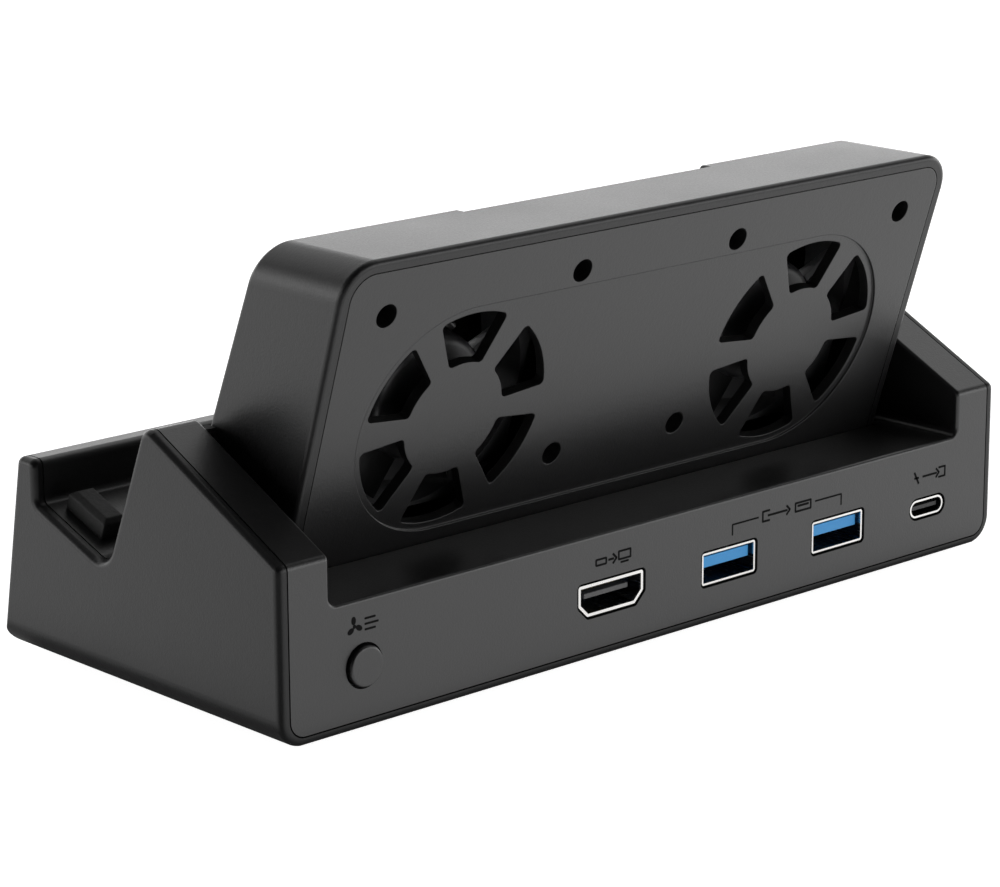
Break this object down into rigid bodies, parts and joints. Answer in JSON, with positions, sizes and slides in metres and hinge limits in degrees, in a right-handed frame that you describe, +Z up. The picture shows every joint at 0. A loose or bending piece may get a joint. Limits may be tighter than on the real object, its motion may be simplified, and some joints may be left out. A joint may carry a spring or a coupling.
{
  "type": "handheld console dock",
  "caption": "Desktop dock for a handheld game console: sloped cradle, leaning backrest with fans behind a rear grille, and a rear face with a fan button and sockets.",
  "frame": {"origin": "on the table under the middle of the base", "axes": "+Z up, +X along the dock to the fan button's end, -Y towards the cradle side, +Y towards the sockets"},
  "size_m": [0.169, 0.0747, 0.0754],
  "materials": {
    "black_plastic": "satin",
    "fan_plastic": "satin",
    "rubber": "matte",
    "screw_steel": "satin",
    "motor_steel": "satin",
    "socket_metal": "polished",
    "dark_insert": "matte",
    "blue_insert": "matte",
    "white_plastic": "matte",
    "board": "satin",
    "brass": "satin"
  },
  "bodies": {
    "dock": {"lower_tray": "black_plastic", "upper_shell": "black_plastic", "fan_housing": "black_plastic", "fan_rear_cover": "black_plastic", "cradle_pad_left": "rubber", "cradle_pad_right": "rubber", "foot_strip_front": "rubber", "foot_strip_rear": "rubber", "cover_screws": "screw_steel", "fan_screws": "screw_steel", "board_screws": "screw_steel", "base_screws": "screw_steel", "video_socket_shell": "socket_metal", "data_socket_shell_left": "socket_metal", "data_socket_shell_right": "socket_metal", "power_socket_shell": "socket_metal", "video_socket_tongue": "dark_insert", "power_socket_tongue": "dark_insert", "data_socket_tongue_left": "blue_insert", "data_socket_tongue_right": "blue_insert", "main_board": "board", "hub_chip": "dark_insert", "fan_headers": "white_plastic", "button_switch": "dark_insert", "fan_frame_left": "fan_plastic", "fan_bearing_left": "brass", "fan_stator_left": "motor_steel", "fan_frame_right": "fan_plastic", "fan_bearing_right": "brass", "fan_stator_right": "motor_steel"},
    "fan_rotor_left": {"fan_rotor_left": "fan_plastic", "fan_magnet_left": "motor_steel"},
    "fan_rotor_right": {"fan_rotor_right": "fan_plastic", "fan_magnet_right": "motor_steel"},
    "fan_button": {"fan_button": "black_plastic", "switch_plunger": "white_plastic"}
  },
  "joints": [
    {"name": "fan_left_spin", "type": "hinge", "parent": "dock", "child": "fan_rotor_left", "pos_m": [0.0397, 0.01801, 0.04725], "axis": [0, -0.9524, 0.3049], "continuous": true},
    {"name": "fan_right_spin", "type": "hinge", "parent": "dock", "child": "fan_rotor_right", "pos_m": [-0.0397, 0.01801, 0.04725], "axis": [0, -0.9524, 0.3049], "continuous": true},
    {"name": "fan_button_press", "type": "slide", "parent": "dock", "child": "fan_button", "axis": [0, -1, 0], "range_m": [0, 0.0006], "stiffness_N_per_m": 800}
  ]
}
